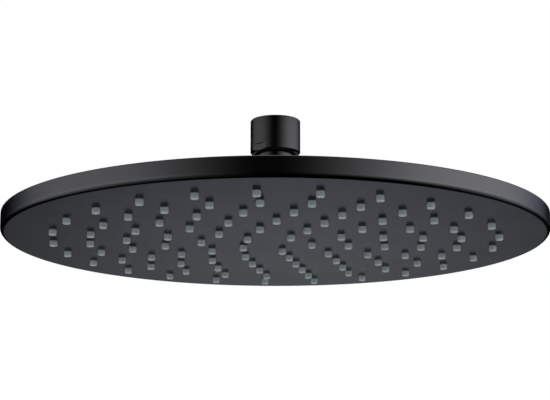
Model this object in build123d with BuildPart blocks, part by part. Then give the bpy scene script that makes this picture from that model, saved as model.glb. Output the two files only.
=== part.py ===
from build123d import *
import os
from math import cos, hypot, radians, sin, sqrt, tan

# Rain shower head: a thin round spray disc that hangs from a nut with a ball joint inside.
# The origin is the mouth of the inlet thread. +Z points up along that thread.
# Millimetres and degrees. Heights are negative, because all of it hangs below the mouth.

# Spray disc
head_diameter = 300.0
rim_height = 10.2
rim_drop = 57.9
edge_radius = 2.5
face_crown = 1.2
face_wall = 2.2
rim_wall = 4.4
lip_wall = 2.2

# Nozzles: rings of equal pitch that all start at the same angle. Each ring has more nozzles
# than the one inside it, by the same step, up to a limit.
ring_pitch = 20.4
ring_count_step = 5
ring_count_limit = 25
first_angle = 6.6
nozzle_diameter = 4.1
nozzle_reach = 2.8
nozzle_sides = 8
outlet_diameter = 1.2
outlet_sides = 6
hole_gap = 0.35

# Silicone mat and the water chamber above it
mat_thickness = 1.5
mat_margin = 8.0
clamp_width = 4.0
weld_width = 3.6
weld_inset = 11.0
lid_wall = 2.2
port_diameter = 16.0

# Cover
cover_wall = 2.2
cover_rise = 14.5
hub_rise = 3.5
hub_diameter = 40.0
hub_slope_width = 6.0
gasket_thickness = 0.8

# Inlet nut: parallel pipe thread of half an inch, modelled at its major diameter
thread_diameter = 20.955
thread_length = 6.5
pocket_step = 0.25
nut_wall = 3.43
nut_chamfer = 1.0
mouth_chamfer = 0.5
flat_depth = 0.75
flat_height = 4.1
flat_angle = 228.0
lip_thickness = 1.2

# Ball joint, between the shoulder under the filter washer and the lower end of the nut
ball_diameter = 13.6
ball_below_shoulder = 3.2
skirt_below_ball = 7.2
ball_top_rise = 3.9
ball_bore = 6.0
tilt_limit = 8.0
stem_diameter = 8.8
seat_diameter = 19.3
seat_angle = 30.0
seat_below_centre = 0.4
seal_angle = 20.0
seal_above_centre = 1.2

# Neck, flange and shank of the ball stem
neck_inset = 3.9
neck_sink = 0.4
flange_diameter = 30.0
flange_thickness = 3.0
washer_diameter = 27.0
stem_washer_thickness = 1.5
shank_diameter = 15.6
shank_length = 13.5
insert_wall = 4.65
insert_height = 11.3
socket_inset = 2.0
ring_section = 1.6

# Filter washer and its gauze
filter_washer_thickness = 2.5
gauze_thickness = 0.4
gauze_step = 1.9
gauze_hole = 1.3
gauze_open_diameter = 10.4
gauze_pitch_count = 7

# Flow regulator
regulator_diameter = 10.2
regulator_height = 5.0
regulator_wall = 1.5
regulator_floor = 1.2
regulator_port = 1.2
regulator_ports = 4
regulator_ring_width = 1.4
regulator_ring_height = 1.5

# Clearances
run_gap = 0.05
swing_gap = 0.3
slip_gap = 0.1
cover_gap = 0.3

# Heights that several pieces share
rim_top = -rim_drop
face_z = rim_top - rim_height
floor_z = face_z + face_wall
mat_top = floor_z + mat_thickness
cover_edge_bottom = rim_top - cover_wall
ledge_z = cover_edge_bottom - gasket_thickness
lid_top = cover_edge_bottom - slip_gap
chamber_top = lid_top - lid_wall
hub_top = rim_top + cover_rise
socket_top = hub_top - cover_wall
flange_bottom = hub_top + stem_washer_thickness
flange_top = flange_bottom + flange_thickness
shank_end = flange_bottom - shank_length
pocket_top = -thread_length
shoulder_z = pocket_top - filter_washer_thickness
ball_z = shoulder_z - ball_below_shoulder
nut_bottom = ball_z - skirt_below_ball
neck_top = nut_bottom + neck_sink

# Radii that several pieces share
head_radius = head_diameter / 2
cover_radius = head_radius - lip_wall - cover_gap
ledge_radius = head_radius - rim_wall
lid_radius = ledge_radius - weld_inset
mat_radius = lid_radius - weld_width - slip_gap
clamp_radius = mat_radius - clamp_width
hub_radius = hub_diameter / 2
thread_radius = thread_diameter / 2
nut_radius = thread_radius + nut_wall
pocket_radius = thread_radius - pocket_step
seat_radius = seat_diameter / 2
seat_bore = seat_radius + run_gap
ball_radius = ball_diameter / 2
stem_radius = stem_diameter / 2
neck_radius = nut_radius - neck_inset
shank_radius = shank_diameter / 2
gland_radius = shank_radius + run_gap + ring_section
insert_radius = shank_radius + run_gap + insert_wall
socket_radius = insert_radius + run_gap

# Room inside the nut for the stem and the neck at the limit of the tilt
tilt = radians(tilt_limit)
neck_lift = neck_radius * sin(tilt) - (ball_z - neck_top) * cos(tilt)
skirt_roof = ball_z + neck_lift + swing_gap
skirt_radius = neck_radius / cos(tilt) + (ball_z - nut_bottom) * tan(tilt) + swing_gap
lip_top = skirt_roof + lip_thickness
stem_swing = stem_radius / cos(tilt) + (ball_z - skirt_roof) * tan(tilt)
ball_at_lip = sqrt(ball_radius**2 - (ball_z - lip_top) ** 2)
lip_radius = max(stem_swing, ball_at_lip) + swing_gap
ball_at_shoulder = sqrt(ball_radius**2 - (shoulder_z - ball_z) ** 2)
filter_hole = ball_at_shoulder + swing_gap


def cone_radius(slope, height):
    """Radius, at a height from the ball's centre, of the cone that touches the ball at this slope.

    The cone keeps the running clearance from the ball."""
    reach = ball_radius + run_gap
    return reach / cos(radians(slope)) - abs(height) * tan(radians(slope))


def tip_height(ring_radius):
    """Height of the nozzle tips in a ring: they follow the bulge of the face, which is a flat arc."""
    bulge = face_crown * (1 - (ring_radius / head_radius) ** 2)
    return face_z - bulge - nozzle_reach


def nozzle_rings():
    """Radius and nozzle count of each ring, for as many rings as the mat has room for."""
    ring_total = int((mat_radius - mat_margin) / ring_pitch)
    return [
        (ring * ring_pitch, min(ring * ring_count_step, ring_count_limit))
        for ring in range(1, ring_total + 1)
    ]


# Face pan: black ABS moulding with the perforated face, the rolled edge and the rim. The face bulges
# a little on the outside. Inside it is flat, for the mat and the weld of the lid. The section stands
# between the nozzles, a sixth of the innermost ring's step past the first of them.
section_angle = radians(first_angle + 360 / ring_count_step / 6)
section_plane = Plane(
    (0, 0, 0),
    x_dir=(cos(section_angle), sin(section_angle), 0),
    z_dir=(sin(section_angle), -cos(section_angle), 0),
)
with BuildPart() as face_pan:
    with BuildSketch(section_plane) as pan_section:
        with BuildLine():
            face_line = TangentArc((0, face_z - face_crown), (head_radius, face_z), tangent=(1, 0))
            Polyline(
                face_line @ 1,
                (head_radius, rim_top),
                (head_radius - lip_wall, rim_top),
                (head_radius - lip_wall, ledge_z),
                (ledge_radius, ledge_z),
                (ledge_radius, floor_z),
                (0, floor_z),
                face_line @ 0,
            )
        make_face()
        lower_edge = pan_section.vertices().group_by(Axis.X)[-1].sort_by(Axis.Y)[0]
        fillet(lower_edge, edge_radius)
    revolve(axis=Axis.Z)
    with BuildSketch(Plane.XY.offset(floor_z)):
        for ring_radius, count in nozzle_rings():
            with PolarLocations(ring_radius, count, first_angle):
                RegularPolygon(nozzle_diameter / 2 + hole_gap, nozzle_sides)
    extrude(amount=tip_height(0) - floor_z, mode=Mode.SUBTRACT)
face_pan.part.label = "face_pan"

# Nozzle mat: one silicone moulding whose nozzles stand through the holes of the face.
with BuildPart() as nozzle_mat:
    with BuildSketch(Plane.XY.offset(floor_z)):
        Circle(mat_radius)
    extrude(amount=mat_thickness)
    for ring_radius, count in nozzle_rings():
        with BuildSketch(Plane.XY.offset(tip_height(ring_radius))):
            with PolarLocations(ring_radius, count, first_angle):
                RegularPolygon(nozzle_diameter / 2, nozzle_sides)
        extrude(amount=floor_z - tip_height(ring_radius))
    with BuildSketch(Plane.XY.offset(mat_top)):
        for ring_radius, count in nozzle_rings():
            with PolarLocations(ring_radius, count, first_angle):
                RegularPolygon(outlet_diameter / 2, outlet_sides)
    extrude(amount=tip_height(0) - mat_top, mode=Mode.SUBTRACT)
nozzle_mat.part.label = "nozzle_mat"

# Chamber lid: ABS plate welded to the face pan. Its rim clamps the mat, and its socket holds the insert.
with BuildPart() as chamber_lid:
    with BuildSketch(Plane.XZ):
        with BuildLine():
            Polyline(
                (port_diameter / 2, chamber_top),
                (clamp_radius, chamber_top),
                (clamp_radius, mat_top),
                (mat_radius + slip_gap, mat_top),
                (mat_radius + slip_gap, floor_z),
                (lid_radius, floor_z),
                (lid_radius, lid_top),
                (hub_radius - socket_inset, lid_top),
                (hub_radius - socket_inset, socket_top),
                (socket_radius, socket_top),
                (socket_radius, socket_top - insert_height),
                (port_diameter / 2, socket_top - insert_height),
                close=True,
            )
        make_face()
    revolve(axis=Axis.Z)
chamber_lid.part.label = "chamber_lid"

# Inlet insert: brass bush in the lid's socket that takes the shank of the ball stem.
with BuildPart() as inlet_insert:
    with BuildSketch(Plane.XZ):
        with BuildLine():
            Polyline(
                (gland_radius, socket_top),
                (insert_radius, socket_top),
                (insert_radius, socket_top - insert_height),
                (shank_radius + run_gap, socket_top - insert_height),
                (shank_radius + run_gap, socket_top - ring_section),
                (gland_radius, socket_top - ring_section),
                close=True,
            )
        make_face()
    revolve(axis=Axis.Z)
inlet_insert.part.label = "inlet_insert"

# Shank ring: rubber seal round the shank, in the mouth of the insert.
with BuildPart() as shank_ring:
    with BuildSketch(Plane.XY.offset(socket_top)):
        Circle(gland_radius - run_gap)
        Circle(shank_radius + run_gap, mode=Mode.SUBTRACT)
    extrude(amount=-ring_section)
shank_ring.part.label = "shank_ring"

# Edge gasket: thin foam ring on the ledge of the rim, under the edge of the cover.
with BuildPart() as edge_gasket:
    with BuildSketch(Plane.XY.offset(ledge_z)):
        Circle(cover_radius)
        Circle(ledge_radius, mode=Mode.SUBTRACT)
    extrude(amount=gasket_thickness)
edge_gasket.part.label = "edge_gasket"

# Top cover: black ABS cone that closes the disc and rises to a flat hub for the neck.
hub_foot = hub_radius + hub_slope_width
with BuildPart() as top_cover:
    with BuildSketch(Plane.XZ):
        with BuildLine():
            Polyline(
                (shank_radius + swing_gap, hub_top),
                (hub_radius, hub_top),
                (hub_foot, hub_top - hub_rise),
                (cover_radius, rim_top),
                (cover_radius, cover_edge_bottom),
                (ledge_radius, cover_edge_bottom),
                (hub_foot, hub_top - hub_rise - cover_wall),
                (hub_radius, socket_top),
                (shank_radius + swing_gap, socket_top),
                close=True,
            )
        make_face()
    revolve(axis=Axis.Z)
top_cover.part.label = "top_cover"

# Stem washer: rubber ring between the hub of the cover and the flange of the stem.
with BuildPart() as stem_washer:
    with BuildSketch(Plane.XY.offset(hub_top)):
        Circle(washer_diameter / 2)
        Circle(shank_radius + run_gap, mode=Mode.SUBTRACT)
    extrude(amount=stem_washer_thickness)
stem_washer.part.label = "stem_washer"

# Ball stem: turned brass, bored right through, with ball, neck, flange and shank in one.
ball_top = ball_z + ball_top_rise
ball_top_radius = sqrt(ball_radius**2 - ball_top_rise**2)
ball_foot = ball_z - sqrt(ball_radius**2 - stem_radius**2)
regulator_seat = shank_end + regulator_height
with BuildPart() as ball_stem:
    with BuildSketch(Plane.XZ):
        with BuildLine():
            ball_line = ThreePointArc(
                (ball_top_radius, ball_top), (ball_radius, ball_z), (stem_radius, ball_foot)
            )
            Polyline(
                ball_line @ 1,
                (stem_radius, neck_top),
                (neck_radius, neck_top),
                (neck_radius, flange_top),
                (flange_diameter / 2, flange_top),
                (flange_diameter / 2, flange_bottom),
                (shank_radius, flange_bottom),
                (shank_radius, shank_end),
                (regulator_diameter / 2, shank_end),
                (regulator_diameter / 2, regulator_seat),
                (ball_bore / 2, regulator_seat),
                (ball_bore / 2, ball_top),
                ball_line @ 0,
            )
        make_face()
    revolve(axis=Axis.Z)
ball_stem.part.label = "ball_stem"

# Flow regulator: moulded cup in the end of the shank, with a ring of ports through its floor.
cup_radius = regulator_diameter / 2 - run_gap
cup_bore = cup_radius - regulator_wall
with BuildPart() as flow_regulator:
    with BuildSketch(Plane.XY.offset(shank_end)):
        Circle(cup_radius)
    extrude(amount=regulator_height)
    with BuildSketch(Plane.XY.offset(regulator_seat)):
        Circle(cup_bore)
    extrude(amount=regulator_floor - regulator_height, mode=Mode.SUBTRACT)
    with BuildSketch(Plane.XY.offset(shank_end)):
        with PolarLocations(cup_bore - regulator_ring_width - regulator_port / 2, regulator_ports):
            Circle(regulator_port / 2)
    extrude(amount=regulator_floor, mode=Mode.SUBTRACT)
flow_regulator.part.label = "flow_regulator"

# Regulator ring: soft ring on the floor of the cup that narrows the ports as the pressure rises.
with BuildPart() as regulator_ring:
    with BuildSketch(Plane.XY.offset(shank_end + regulator_floor)):
        Circle(cup_bore - run_gap)
        Circle(cup_bore - run_gap - regulator_ring_width, mode=Mode.SUBTRACT)
    extrude(amount=regulator_ring_height)
regulator_ring.part.label = "regulator_ring"

# Seat ring: acetal ring under the ball that turns on the lip of the nut.
seat_bottom = lip_top + run_gap
seat_top = ball_z - seat_below_centre
with BuildPart() as seat_ring:
    with BuildSketch(Plane.XZ):
        with BuildLine():
            Polyline(
                (cone_radius(seat_angle, ball_z - seat_bottom), seat_bottom),
                (seat_radius, seat_bottom),
                (seat_radius, seat_top),
                (cone_radius(seat_angle, seat_below_centre), seat_top),
                close=True,
            )
        make_face()
    revolve(axis=Axis.Z)
seat_ring.part.label = "seat_ring"

# Ball seal: rubber ring on the upper half of the ball, flush with the shoulder of the thread.
seal_bottom = ball_z + seal_above_centre
with BuildPart() as ball_seal:
    with BuildSketch(Plane.XZ):
        with BuildLine():
            Polyline(
                (cone_radius(seal_angle, seal_above_centre), seal_bottom),
                (seat_radius, seal_bottom),
                (seat_radius, shoulder_z),
                (cone_radius(seal_angle, shoulder_z - ball_z), shoulder_z),
                close=True,
            )
        make_face()
    revolve(axis=Axis.Z)
ball_seal.part.label = "ball_seal"

# Filter washer: rubber ring under the end of the supply pipe, with a step for the gauze.
filter_radius = pocket_radius - slip_gap
gauze_radius = (filter_hole + filter_radius) / 2
gauze_bottom = pocket_top - gauze_thickness - slip_gap
with BuildPart() as filter_washer:
    with BuildSketch(Plane.XZ):
        with BuildLine():
            Polyline(
                (filter_hole, shoulder_z),
                (filter_radius, shoulder_z),
                (filter_radius, pocket_top),
                (gauze_radius + run_gap, pocket_top),
                (gauze_radius + run_gap, gauze_bottom),
                (filter_hole, gauze_bottom),
                close=True,
            )
        make_face()
    revolve(axis=Axis.Z)
filter_washer.part.label = "filter_washer"

# Filter gauze: stainless disc with square openings, in the step of the filter washer.
gauze_grid = GridLocations(gauze_step, gauze_step, gauze_pitch_count, gauze_pitch_count).local_locations
gauze_spots = [
    spot for spot in gauze_grid
    if hypot(spot.position.X, spot.position.Y) < gauze_open_diameter / 2
]
with BuildPart() as filter_gauze:
    with BuildSketch(Plane.XY.offset(gauze_bottom)):
        Circle(gauze_radius)
        with Locations(*gauze_spots):
            Rectangle(gauze_hole, gauze_hole, mode=Mode.SUBTRACT)
    extrude(amount=gauze_thickness)
filter_gauze.part.label = "filter_gauze"

# Swivel nut: turned brass with the inlet thread, the bore of the ball joint and two spanner flats.
with BuildPart() as swivel_nut:
    with BuildSketch(Plane.XZ) as nut_section:
        with BuildLine():
            Polyline(
                (thread_radius, 0),
                (nut_radius, 0),
                (nut_radius, nut_bottom + nut_chamfer),
                (nut_radius - nut_chamfer, nut_bottom),
                (skirt_radius, nut_bottom),
                (skirt_radius, skirt_roof),
                (lip_radius, skirt_roof),
                (lip_radius, lip_top),
                (seat_bore, lip_top),
                (seat_bore, shoulder_z),
                (pocket_radius, shoulder_z),
                (pocket_radius, pocket_top),
                (thread_radius, pocket_top),
                close=True,
            )
        make_face()
        chamfer(nut_section.vertices().group_by(Axis.Y)[-1].sort_by(Axis.X)[-1], mouth_chamfer)
    revolve(axis=Axis.Z)
    with BuildSketch(Plane.XY.offset(nut_bottom)):
        with PolarLocations(nut_radius - flat_depth, 2, flat_angle):
            Rectangle(nut_radius, 2 * nut_radius, align=(Align.MIN, Align.CENTER))
    extrude(amount=flat_height, mode=Mode.SUBTRACT)
swivel_nut.part.label = "swivel_nut"

os.makedirs("parts", exist_ok=True)
export_step(swivel_nut.part, "parts/swivel_nut.step")
export_step(filter_washer.part, "parts/filter_washer.step")
export_step(filter_gauze.part, "parts/filter_gauze.step")
export_step(ball_seal.part, "parts/ball_seal.step")
export_step(seat_ring.part, "parts/seat_ring.step")
export_step(ball_stem.part, "parts/ball_stem.step")
export_step(flow_regulator.part, "parts/flow_regulator.step")
export_step(regulator_ring.part, "parts/regulator_ring.step")
export_step(stem_washer.part, "parts/stem_washer.step")
export_step(shank_ring.part, "parts/shank_ring.step")
export_step(inlet_insert.part, "parts/inlet_insert.step")
export_step(chamber_lid.part, "parts/chamber_lid.step")
export_step(top_cover.part, "parts/top_cover.step")
export_step(edge_gasket.part, "parts/edge_gasket.step")
export_step(nozzle_mat.part, "parts/nozzle_mat.step")
export_step(face_pan.part, "parts/face_pan.step")
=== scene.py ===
from math import atan2, cos, hypot, pi, radians, sin, tan
import bpy
import numpy as np
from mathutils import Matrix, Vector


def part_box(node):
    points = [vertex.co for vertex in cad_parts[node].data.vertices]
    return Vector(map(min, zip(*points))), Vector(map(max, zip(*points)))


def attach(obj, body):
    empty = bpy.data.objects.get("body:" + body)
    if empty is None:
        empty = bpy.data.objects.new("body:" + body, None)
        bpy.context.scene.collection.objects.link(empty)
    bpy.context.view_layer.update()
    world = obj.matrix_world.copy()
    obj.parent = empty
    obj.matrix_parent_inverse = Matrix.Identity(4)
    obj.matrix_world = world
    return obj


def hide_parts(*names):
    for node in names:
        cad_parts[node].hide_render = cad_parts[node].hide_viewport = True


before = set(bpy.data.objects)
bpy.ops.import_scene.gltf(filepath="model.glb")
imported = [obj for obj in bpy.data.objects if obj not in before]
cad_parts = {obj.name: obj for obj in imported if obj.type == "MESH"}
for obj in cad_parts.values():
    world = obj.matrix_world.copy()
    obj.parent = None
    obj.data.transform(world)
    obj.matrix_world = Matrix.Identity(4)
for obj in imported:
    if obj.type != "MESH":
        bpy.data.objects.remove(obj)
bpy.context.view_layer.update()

# Swivel nut. Brass, turned and tapped, with two spanner flats milled at its lower end, then
# coated satin black. It screws on the shower arm and holds the ball of the head inside.
MM = 0.001


def linear(code):
    """sRGB hex to linear light: the standard curve, a straight toe below 0.04045."""
    part = np.array([int(code[i:i + 2], 16) for i in (1, 3, 5)]) / 255
    return (*np.where(part <= 0.04045, part / 12.92, ((part + 0.055) / 1.055) ** 2.4).tolist(), 1.0)


def add_node(tree, kind, inputs=None, **settings):
    """Adds one node. Each input, by name or number, takes a value, or a link from a socket."""
    node = tree.nodes.new(kind)
    for name, value in settings.items():
        setattr(node, name, value)
    for name, value in (inputs or {}).items():
        if isinstance(value, bpy.types.NodeSocket):
            tree.links.new(value, node.inputs[name])
        else:
            node.inputs[name].default_value = value
    return node


def finish(name, light, dark, cloud_mm, roughness, grain_mm, grain_depth_mm, **sockets):
    """A surface whose colour drifts between two tones in clouds of a real size.

    Its roughness drifts with the same clouds, between two values, and a bump of a real grain
    size and depth breaks the gloss. Further sockets of the shader are set by their names."""
    material = bpy.data.materials.new(name)
    material.use_nodes = True
    tree = material.node_tree
    tree.nodes.clear()
    place = add_node(tree, "ShaderNodeTexCoord").outputs["Object"]
    clouds = add_node(tree, "ShaderNodeTexNoise", {
        "Vector": place, "Scale": 1 / (cloud_mm * MM), "Detail": 2.0})
    tone = add_node(tree, "ShaderNodeMix", {
        "Factor": clouds.outputs[0], 6: linear(light), 7: linear(dark)}, data_type="RGBA")
    gloss = add_node(tree, "ShaderNodeMapRange", {
        "Value": clouds.outputs[0], "To Min": roughness[0], "To Max": roughness[1]})
    grain = add_node(tree, "ShaderNodeTexNoise", {
        "Vector": place, "Scale": 1 / (grain_mm * MM), "Detail": 1.0})
    bump = add_node(tree, "ShaderNodeBump", {
        "Height": grain.outputs[0], "Strength": 1.0, "Distance": grain_depth_mm * MM})
    shader = add_node(tree, "ShaderNodeBsdfPrincipled", {
        "Base Color": tone.outputs[2], "Roughness": gloss.outputs[0], "Normal": bump.outputs[0],
        **{socket.replace("_", " "): value for socket, value in sockets.items()}})
    add_node(tree, "ShaderNodeOutputMaterial", {"Surface": shader.outputs[0]})
    return material


def dress(node, material):
    """Gives a CAD node its finish."""
    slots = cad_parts[node].data.materials
    slots.clear()
    slots.append(material)


# Satin black coat, baked on: its fine tooth scatters the sheen that a smooth lacquer has at low
# angles, so it reflects about one part in twenty whichever way it is seen, as a dark metal does.
low_angle_sheen = linear("#b3b5ba")
black_coat = finish(
    "satin_black_coat", "#3b3b3d", "#373739", cloud_mm=14, roughness=(0.20, 0.25),
    grain_mm=0.35, grain_depth_mm=0.0006, Metallic=1.0, Specular_Tint=low_angle_sheen)
dress("swivel_nut", black_coat)

# Inlet thread. Half-inch parallel pipe thread cut in the brass of the nut, right-handed, with flanks
# at 55 degrees and crests a little flattened. It is bare where the tap has cut.
thread_pitch = 1.814
thread_depth = 1.05
thread_root = 10.55
thread_start = -0.6
thread_turns = 2.9
thread_steps = 220
root_half = 0.72
crest_half = 0.16
ridge_corners = 4
fade_turns = 0.125
fade_least = 0.02
sharp_angle = 32.0


def new_piece(name, points, faces, material, body, slot, replaced=()):
    """Makes one piece of a point array, in millimetres, and a list of faces, and mounts it."""
    mesh = bpy.data.meshes.new(name)
    mesh.from_pydata((points * MM).tolist(), [], faces)
    mesh.polygons.foreach_set("use_smooth", np.ones(len(mesh.polygons), bool))
    mesh.set_sharp_from_angle(angle=radians(sharp_angle))
    mesh.materials.append(material)
    mesh.validate()
    piece = bpy.data.objects.new(name, mesh)
    bpy.context.scene.collection.objects.link(piece)
    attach(piece, body)
    if replaced:
        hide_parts(*replaced)


def grid_faces(rows, columns, wrap_rows=False, wrap_columns=False):
    """Quads of a grid: each row and column joins the next, and at will the last joins the first."""
    row, column = np.meshgrid(
        np.arange(rows if wrap_rows else rows - 1),
        np.arange(columns if wrap_columns else columns - 1), indexing="ij")
    below, beside = (row + 1) % rows * columns, (column + 1) % columns
    row = row * columns
    return np.stack([row + column, row + beside, below + beside, below + column], -1).reshape(-1, 4)


def helix_ridge():
    """Four-cornered ridge profile carried down a helix: angle runs with depth, one turn a pitch.

    The ridge fades into the wall over a part of a turn at both ends."""
    turn = np.linspace(0, thread_turns, thread_steps)
    fade = np.clip(np.minimum(turn, thread_turns - turn) / fade_turns, fade_least, 1)
    rise = np.stack([0 * fade, fade * thread_depth, fade * thread_depth, 0 * fade], 1)
    shift = np.array([root_half, crest_half, -crest_half, -root_half])
    angle = -2 * pi * turn[:, None]
    reach = thread_root - rise
    height = thread_start - root_half - thread_pitch * turn[:, None] + shift
    points = np.stack([reach * np.cos(angle), reach * np.sin(angle), height], -1)
    faces = grid_faces(thread_steps, ridge_corners, wrap_columns=True).tolist()
    start_cap = np.arange(ridge_corners)[::-1]
    end_cap = ridge_corners * (thread_steps - 1) + np.arange(ridge_corners)
    return points.reshape(-1, 3), faces + [start_cap.tolist(), end_cap.tolist()]


# Brass, cut by a tap: warm, with fine tool marks.
cut_brass = finish(
    "cut_brass", "#c9a25c", "#b58d49", cloud_mm=3, roughness=(0.24, 0.36),
    grain_mm=0.12, grain_depth_mm=0.004, Metallic=1.0)
new_piece("inlet_thread", *helix_ridge(), cut_brass, "nut", "bare_brass")

# Filter washer and gauze. The washer is pressed from black rubber sheet and lies under the end of
# the shower arm. The gauze is punched from thin stainless steel and snaps in its step.
# Rubber: a dull black with a faint bloom. Steel: bright, with the burnish of the punch.
black_rubber = finish(
    "pressed_black_rubber", "#1b1b1c", "#121213", cloud_mm=4, roughness=(0.52, 0.68),
    grain_mm=0.3, grain_depth_mm=0.006, Specular_IOR_Level=0.4)
punched_steel = finish(
    "punched_stainless_steel", "#c2c3c2", "#a9abab", cloud_mm=1.2, roughness=(0.22, 0.34),
    grain_mm=0.08, grain_depth_mm=0.002, Metallic=1.0)
dress("filter_washer", black_rubber)
dress("filter_gauze", punched_steel)

# Ball seal and seat ring. The seal is moulded rubber and presses on the ball from above. The seat is
# turned from white acetal, which slides well when wet, and carries the ball on the lip of the nut.
# Acetal: milky white, a little see-through at its edges, with a waxy gloss.
turned_acetal = finish(
    "turned_white_acetal", "#e9e8e1", "#dfddd4", cloud_mm=5, roughness=(0.34, 0.44),
    grain_mm=0.15, grain_depth_mm=0.003, Subsurface_Weight=0.08)
dress("ball_seal", black_rubber)
dress("seat_ring", turned_acetal)

# Ball stem. Ball, neck, flange and threaded shank are turned from one brass bar, bored right through
# and coated like the nut.
dress("ball_stem", black_coat)

# Flow regulator. A cup moulded in green acetal, pressed in the end of the shank, with a soft ring on
# its floor that swells and narrows the ports as the pressure rises.
green_acetal = finish(
    "moulded_green_acetal", "#3f8a55", "#367a4a", cloud_mm=6, roughness=(0.38, 0.48),
    grain_mm=0.2, grain_depth_mm=0.004, Subsurface_Weight=0.05)
dress("flow_regulator", green_acetal)
dress("regulator_ring", black_rubber)

# Stem washer and shank ring. Rubber, one under the flange and one round the shank: they keep water
# out of the cover and in the insert.
dress("stem_washer", black_rubber)
dress("shank_ring", black_rubber)

# Inlet insert and chamber lid. The insert is a brass bush with a thread for the shank. The lid is
# moulded in black ABS round it and welded to the face pan, so that water stays over the mat.
# Brass: turned, yellow, with fine rings. ABS: as it leaves the mould, a soft black sheen.
turned_brass = finish(
    "turned_brass", "#d0a960", "#bd954e", cloud_mm=4, roughness=(0.22, 0.34),
    grain_mm=0.1, grain_depth_mm=0.003, Metallic=1.0)
plain_abs = finish(
    "plain_black_abs", "#1d1d1e", "#171718", cloud_mm=18, roughness=(0.42, 0.52),
    grain_mm=0.4, grain_depth_mm=0.008, Specular_IOR_Level=0.5)
dress("inlet_insert", turned_brass)
dress("chamber_lid", plain_abs)

# Top cover and edge gasket. The cover is moulded in ABS, a low cone with a flat hub, and coated like
# the face. It lies on the gasket in the rim, and the flange of the stem clamps its hub.
cover_low, cover_high = (np.array(corner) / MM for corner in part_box("top_cover"))
gasket_low = np.array(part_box("edge_gasket")[0]) / MM
cover_radius = cover_high[0]
hub_top, rim_top = cover_high[2], cover_low[2]
cover_wall = 2.2
ledge_width = 1.9
hub_radius = 20.0
hub_slope_width = 6.0
hub_rise = 3.5
hub_bore = 8.1
bore_round = 0.3
brim_round = 0.4
foot_round = 9.0
hub_round = 1.6
lathe_steps = 300
corner_steps = 6
beside_round = 0.1


def rounded(corners):
    """A section line with its corners rounded: each corner is (radius, height, round).

    A round becomes an arc that touches both sides, at the round over the tangent of half the
    corner's opening from the corner, and its points divide the turn evenly. One more point lies
    close beside each end of the arc, so that the flat sides shade flat."""
    spots = np.array([corner[:2] for corner in corners], float)
    line = []
    for before, spot, after, (_, _, size) in zip(
            np.roll(spots, 1, 0), spots, np.roll(spots, -1, 0), corners):
        if size == 0:
            line.append(spot[None])
            continue
        back, ahead = before - spot, after - spot
        back, ahead = back / hypot(*back), ahead / hypot(*ahead)
        half = np.arccos(np.clip(back @ ahead, -1, 1)) / 2
        middle = (back + ahead) / hypot(*(back + ahead))
        centre = spot + middle * size / sin(half)
        first = spot + back * size / tan(half) - centre
        final = spot + ahead * size / tan(half) - centre
        start = atan2(first[1], first[0])
        sweep = (atan2(final[1], final[0]) - start + pi) % (2 * pi) - pi
        angle = start + sweep * np.linspace(0, 1, corner_steps + 1)
        arc = centre + size * np.stack([np.cos(angle), np.sin(angle)], 1)
        line.append(np.concatenate([
            [arc[0] + back * beside_round], arc, [arc[-1] + ahead * beside_round]]))
    return np.concatenate(line)


def lathe(section, steps=lathe_steps, first=0.0):
    """A section line carried round Z: each point goes round a circle of its own radius.

    A section that starts and ends on the axis closes there, in two poles with a fan of triangles
    each. In any other section the last point joins the first."""
    poles = section[0, 0] == 0
    rows = section[1:-1] if poles else section
    angle = radians(first) + 2 * pi * np.arange(steps) / steps
    ring = np.stack([np.cos(angle), np.sin(angle)], 1)
    flat = rows[:, None, :1] * ring
    height = np.broadcast_to(rows[:, None, 1:], (*flat.shape[:2], 1))
    points = np.concatenate([flat, height], 2).reshape(-1, 3)
    faces = grid_faces(len(rows), steps, wrap_rows=not poles, wrap_columns=True).tolist()
    if poles:
        here, beside = np.arange(steps), (np.arange(steps) + 1) % steps
        pole, last = len(points), len(points) - steps
        faces += np.stack([0 * here + pole, beside, here], 1).tolist()
        faces += np.stack([0 * here + pole + 1, last + here, last + beside], 1).tolist()
        points = np.concatenate([points, [(0, 0, section[0, 1]), (0, 0, section[-1, 1])]])
    return points, faces


# Satin black coat on ABS, sprayed: the same black as on the nut, a little softer.
black_abs = finish(
    "satin_black_abs", "#444446", "#404042", cloud_mm=40, roughness=(0.20, 0.24),
    grain_mm=0.4, grain_depth_mm=0.0006, Metallic=1.0, Specular_Tint=low_angle_sheen)
hub_foot = hub_radius + hub_slope_width
cover_section = rounded([
    (hub_bore, hub_top, bore_round),
    (hub_bore, hub_top - cover_wall, 0),
    (hub_radius, hub_top - cover_wall, 0),
    (hub_foot, hub_top - hub_rise - cover_wall, 0),
    (cover_radius - ledge_width, rim_top, 0),
    (cover_radius, rim_top, 0),
    (cover_radius, rim_top + cover_wall, brim_round),
    (hub_foot, hub_top - hub_rise, foot_round),
    (hub_radius, hub_top, hub_round),
])
new_piece("cover_shell", *lathe(cover_section), black_abs, "head", "satin_black_abs", ["top_cover"])
dress("edge_gasket", black_rubber)

# Nozzle mat. One moulding of grey silicone: a flat sheet with short nozzles that stand through the
# face, each with a rounded tip and a fine bore. Rubbing a soft tip breaks the lime off.
mat_low, mat_high = (np.array(corner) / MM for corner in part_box("nozzle_mat"))
pan_low, pan_high = (np.array(corner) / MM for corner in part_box("face_pan"))
pan_radius = pan_high[0]
face_crown = 1.2
face_z = pan_low[2] + face_crown
ring_pitch = 20.4
ring_counts = (5, 10, 15, 20, 25, 25)
first_angle = 6.6
nozzle_radius = 2.05
tip_round = 0.55
bore_radius = 0.6
bore_mouth = 0.25
bore_depth = 3.0
root_sink = 0.15
sheet_thickness = 1.5
nozzle_steps = 32


def bulge(radius):
    """How far the face lies below its edge: the crown, less its share by the radius squared."""
    return face_crown * (1 - (radius / pan_radius) ** 2)


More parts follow.
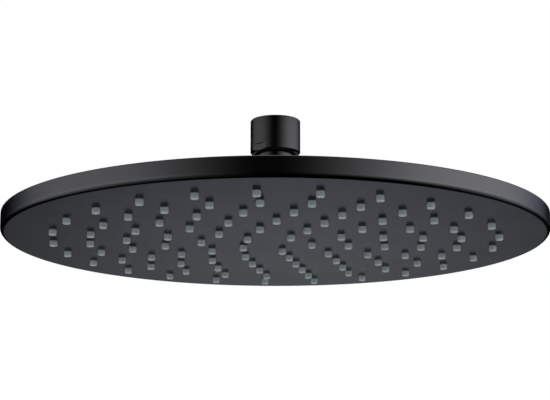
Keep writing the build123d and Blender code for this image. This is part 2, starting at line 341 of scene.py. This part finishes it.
def nozzle_tips():
    """Tips of all nozzles: on each ring the angle steps evenly from the same first angle.

    Each ring hangs as much lower than the outermost one as the face does there."""
    spots = []
    for ring, count in enumerate(ring_counts, start=1):
        angle = radians(first_angle) + 2 * pi * np.arange(count) / count
        radius = ring * ring_pitch
        height = mat_low[2] + bulge(ring_pitch) - bulge(radius)
        spots.append(np.stack([
            radius * np.cos(angle), radius * np.sin(angle), np.full(count, height)], 1))
    return np.concatenate(spots)


# Silicone, grey, straight from the mould: soft satin, a little light passes under its skin.
skin_depth = 1.5
grey_silicone = finish(
    "moulded_grey_silicone", "#acb7b9", "#a3aeb0", cloud_mm=9, roughness=(0.42, 0.50),
    grain_mm=0.25, grain_depth_mm=0.004, Specular_IOR_Level=0.35, Subsurface_Weight=0.5,
    Subsurface_Scale=skin_depth * MM, Subsurface_Radius=(1.0, 1.0, 1.0))
sheet_top = mat_high[2]
sheet_bottom = sheet_top - sheet_thickness
sheet_points, sheet_faces = lathe(np.array([
    (0, sheet_bottom), (mat_high[0], sheet_bottom), (mat_high[0], sheet_top), (0, sheet_top)]))
nozzle_length = sheet_bottom + root_sink - mat_low[2]
one_points, one_faces = lathe(rounded([
    (0, bore_depth, 0),
    (bore_radius, bore_depth, 0),
    (bore_radius, 0, bore_mouth),
    (nozzle_radius, 0, tip_round),
    (nozzle_radius, nozzle_length, 0),
    (0, nozzle_length, 0),
]), nozzle_steps)
tips = nozzle_tips()
nozzle_points = (tips[:, None] + one_points).reshape(-1, 3)
nozzle_faces = [
    [len(sheet_points) + len(one_points) * nozzle + corner for corner in face]
    for nozzle in range(len(tips)) for face in one_faces]
new_piece(
    "spray_nozzles", np.concatenate([sheet_points, nozzle_points]), sheet_faces + nozzle_faces,
    grey_silicone, "head", "grey_silicone", ["nozzle_mat"])

# Face pan. One ABS moulding with the perforated face, which bulges a little, an edge rolled up to
# the rim, and a lip inside the rim for the cover. Coated satin black all over.
pan_top = pan_high[2]
ledge_z = gasket_low[2]
floor_z = sheet_bottom
edge_round = 2.5
edge_margin = 1.5
rim_round = 0.35
rim_wall = 4.4
lip_wall = 2.2
hole_gap = 0.35
hole_radius = nozzle_radius + hole_gap
hole_round = 0.15
hole_margin = 0.4
hole_round_steps = 3
side_steps = 6
half_pitch = ring_pitch / 2
merge_digits = 4


def perforated(outer):
    """The sheet with a round hole for each nozzle, as one closed skin from a disc to a rim.

    Every ring of nozzles lies in a band cut in sectors, one a nozzle. A column runs from the upper
    edge of the sector to the hole, down its wall, round its edge and out to the lower edge. All
    that is below the flat upper side follows the bulge of the face."""
    edges = np.append(np.arange(len(ring_counts)) * ring_pitch + half_pitch, outer)
    bend = np.linspace(0, pi / 2, hole_round_steps + 1)
    lower_radii = np.append(hole_radius + hole_round * (1 - np.cos(bend)), hole_radius + hole_margin)
    lower_rises = np.append(hole_round * (1 - np.sin(bend)), [0, 0])
    points, faces, total = [], [], 0
    for ring, count in enumerate(ring_counts, start=1):
        arc = lathe_steps // count
        spread = 2 * pi / lathe_steps * (np.arange(arc + 1) - arc // 2)
        inner_r, outer_r = edges[ring - 1], edges[ring]
        across = np.linspace(inner_r, outer_r, side_steps + 1)
        reach = np.concatenate([
            np.full(arc, outer_r), across[:0:-1], np.full(arc, inner_r), across[:-1]])
        turn = np.concatenate([
            spread[:-1], np.full(side_steps, spread[-1]), spread[:0:-1], np.full(side_steps, spread[0])])
        border = reach * np.exp(1j * turn)
        ray = border - ring * ring_pitch
        ray /= np.abs(ray)
        upper = np.stack([border, ring * ring_pitch + hole_radius * ray])
        lower = np.concatenate([ring * ring_pitch + lower_radii[:, None] * ray, [border]])
        level = np.concatenate([
            np.full(upper.shape, floor_z), face_z - bulge(np.abs(lower)) + lower_rises[:, None]])
        rows = np.concatenate([upper, lower])
        middle = radians(first_angle) + 2 * pi * np.arange(count) / count
        place = rows * np.exp(1j * middle)[:, None, None]
        points.append(np.stack([
            place.real, place.imag, np.broadcast_to(level, place.shape)], -1).reshape(-1, 3))
        patch = grid_faces(len(rows), len(border), wrap_columns=True)
        start = total + rows.size * np.arange(count)
        faces.append((start[:, None, None] + patch).reshape(-1, 4))
        total += rows.size * count
    return np.concatenate(points), np.concatenate(faces)


def rim_skin(outer):
    """The section of rim and edge, open at the face, carried round Z to meet the perforated sheet."""
    inner = pan_radius - rim_wall
    margin = pan_radius - edge_round - edge_margin
    section = rounded([
        (outer, face_z - bulge(outer), 0),
        (margin, face_z - bulge(margin), 0),
        (pan_radius, face_z, edge_round),
        (pan_radius, pan_top, rim_round),
        (pan_radius - lip_wall, pan_top, rim_round),
        (pan_radius - lip_wall, ledge_z, 0),
        (inner, ledge_z, 0),
        (inner, floor_z, 0),
        (outer, floor_z, 0),
    ])
    points, _ = lathe(section, first=first_angle)
    return points, grid_faces(len(section), lathe_steps, wrap_columns=True)


def merged(points, faces):
    """Points that fall on the same spot become one, and the faces follow."""
    _, first, back = np.unique(
        np.round(points, merge_digits), axis=0, return_index=True, return_inverse=True)
    return points[first], back.reshape(-1)[faces]


sheet_edge = len(ring_counts) * ring_pitch + half_pitch
holes, hole_faces = perforated(sheet_edge)
rim, rim_faces = rim_skin(sheet_edge)
pan_points, pan_faces = merged(
    np.concatenate([holes, rim]), np.concatenate([hole_faces, rim_faces + len(holes)]))
centre = np.flatnonzero(np.hypot(pan_points[:, 0], pan_points[:, 1]) < half_pitch + hole_margin)
centre = centre[np.argsort(np.arctan2(pan_points[centre, 1], pan_points[centre, 0]))]
lower_disc = centre[pan_points[centre, 2] < face_z]
upper_disc = centre[pan_points[centre, 2] > face_z]
pan_faces = pan_faces.tolist() + [lower_disc[::-1].tolist(), upper_disc.tolist()]
new_piece("spray_face", pan_points, pan_faces, black_abs, "head", "satin_black_abs", ["face_pan"])

# Studio. A wide pale floor of painted board, a soft panel overhead and in front, and a dim dome of
# white cloth. A wide soft light hangs on each side, the right one stronger, and a low glow lies
# behind. The room in front is dark, which leaves the middle of the rim black.
floor_drop = 1.2
floor_half = 16.0
floor_roughness = 0.9
floor_mesh = bpy.data.meshes.new("studio_floor")
floor_mesh.from_pydata([
    (-floor_half, -floor_half, -floor_drop), (floor_half, -floor_half, -floor_drop),
    (floor_half, floor_half, -floor_drop), (-floor_half, floor_half, -floor_drop),
], [], [(0, 1, 2, 3)])
pale_floor = bpy.data.materials.new("pale_studio_floor")
pale_floor.use_nodes = True
floor_shader = pale_floor.node_tree.nodes["Principled BSDF"]
floor_shader.inputs["Base Color"].default_value = linear("#f0f0f0")
floor_shader.inputs["Roughness"].default_value = floor_roughness
floor_mesh.materials.append(pale_floor)
floor = bpy.data.objects.new("studio_floor", floor_mesh)
bpy.context.scene.collection.objects.link(floor)
# The black would mirror the floor as a broad pale band under its edge, so it sees the lights there.
floor.visible_glossy = False

# The panel shines down in a fan, as through a grid. A grid of half angle a lets a share of one less
# a over its tangent through, so the lamp gets as much power as gives the radiance straight below.
panel_side = 1.6
panel_forward = 1.2
panel_height = 1.7
panel_fan = 120
panel_radiance = 5.0
panel_share = 1 - radians(panel_fan / 2) / tan(radians(panel_fan / 2))
panel_lamp = bpy.data.lights.new("overhead_panel", "AREA")
panel_lamp.shape = "RECTANGLE"
panel_lamp.size, panel_lamp.size_y = panel_side, panel_side
panel_lamp.spread = radians(panel_fan)
panel_lamp.energy = panel_radiance * pi * panel_side ** 2 * panel_share
panel = bpy.data.objects.new("overhead_panel", panel_lamp)
panel.location = (0, -panel_forward, panel_height)
panel.visible_camera = False
bpy.context.scene.collection.objects.link(panel)

world = bpy.data.worlds.new("studio_room")
bpy.context.scene.world = world
world.use_nodes = True
room = world.node_tree
room.nodes.clear()
way = add_node(room, "ShaderNodeTexCoord").outputs["Generated"]
ways = add_node(room, "ShaderNodeSeparateXYZ", {0: way}).outputs
front = add_node(room, "ShaderNodeMath", {0: ways["Y"], 1: -1.0}, operation="MULTIPLY").outputs[0]
turn = add_node(room, "ShaderNodeMath", {0: ways["X"], 1: front}, operation="ARCTAN2").outputs[0]
azimuth = add_node(room, "ShaderNodeMath", {0: turn}, operation="DEGREES").outputs[0]
across, back, height = ways["X"], ways["Y"], ways["Z"]
paths = add_node(room, "ShaderNodeLightPath").outputs
mirrored = add_node(room, "ShaderNodeMath", {
    0: paths["Is Glossy Ray"], 1: paths["Is Transmission Ray"]}, operation="MAXIMUM").outputs[0]


def soft_light(strength, *spans):
    """A patch of light with soft edges: its strength times one smooth window for each span.

    A span is a direction and four edges. Its window rises from 0 at the first to 1 at the second,
    and falls from 1 at the third to 0 at the fourth, each time by 3 t squared less 2 t cubed."""
    for way_along, rise_start, rise_end, fall_start, fall_end in spans:
        for empty, full in ((rise_start, rise_end), (fall_end, fall_start)):
            step = add_node(room, "ShaderNodeMapRange", {
                "Value": way_along, "From Min": empty, "From Max": full},
                interpolation_type="SMOOTHSTEP").outputs[0]
            strength = add_node(
                room, "ShaderNodeMath", {0: strength, 1: step}, operation="MULTIPLY").outputs[0]
    return strength


# Azimuths are degrees from the camera's side. Heights, backs and sides are parts of a direction of
# length 1, and none of them reaches 2, so a window with these last two edges never falls.
no_fall = (2, 3)
dome_strength = 0.62
dome_heights = (0.46, 0.68, *no_fall)
wall_backs = (0.965, 0.99, *no_fall)
wall_heights = (0.0, 0.08, *no_fall)
glow_strength = 1.03
glow_heights = (-0.42, -0.28, -0.25, -0.05)
glow_sides = (-0.324, 0.016, 0.016, 0.356)
glow_backs = (0.5, 0.8, *no_fall)
right_strength = 3.4
right_azimuths = (3, 76, 116, 152)
right_heights = (-0.90, 0.32, 0.22, 0.36)
left_strength = 1.87
left_azimuths = (-8, -70, -108, -143)
left_heights = (-1.10, 0.05, 0.22, 0.36)
dome = soft_light(dome_strength, (height, *dome_heights))
white_wall = soft_light(mirrored, (back, *wall_backs), (height, *wall_heights))
low_glow = soft_light(
    glow_strength, (height, *glow_heights), (across, *glow_sides), (back, *glow_backs))
right_light = soft_light(right_strength, (azimuth, *right_azimuths), (height, *right_heights))
left_light = soft_light(left_strength, (azimuth, *left_azimuths), (height, *left_heights))
studio = 0.0
for light in (dome, white_wall, low_glow, right_light, left_light):
    studio = add_node(room, "ShaderNodeMath", {0: studio, 1: light}, operation="ADD").outputs[0]
seen = add_node(room, "ShaderNodeMix", {
    "Factor": paths["Is Camera Ray"], 2: studio, 3: 1.0}, data_type="FLOAT").outputs[0]
white = add_node(room, "ShaderNodeBackground", {"Color": linear("#ffffff"), "Strength": seen})
add_node(room, "ShaderNodeOutputWorld", {"Surface": white.outputs[0]})

# Camera. A long lens on a low stand, a little under the disc: it looks up at the spray face from
# close by, and hangs over by a hair, as in the photograph.
image_width = 550
focal_pixels = 1647.4
sensor_width = 36.0
stand_off = 0.90865
below_face = 11.3785
look_up = 12.7809
roll = -0.05
camera_data = bpy.data.cameras.new("camera")
camera_data.sensor_fit = "HORIZONTAL"
camera_data.sensor_width = sensor_width
camera_data.lens = focal_pixels / image_width * sensor_width
camera = bpy.data.objects.new("camera", camera_data)
camera.location = (
    0, -stand_off * cos(radians(below_face)), face_z * MM - stand_off * sin(radians(below_face)))
camera.rotation_euler = (pi / 2 + radians(look_up), radians(roll), 0)
bpy.context.scene.collection.objects.link(camera)
bpy.context.scene.camera = camera
bpy.context.scene.view_settings.view_transform = "Standard"
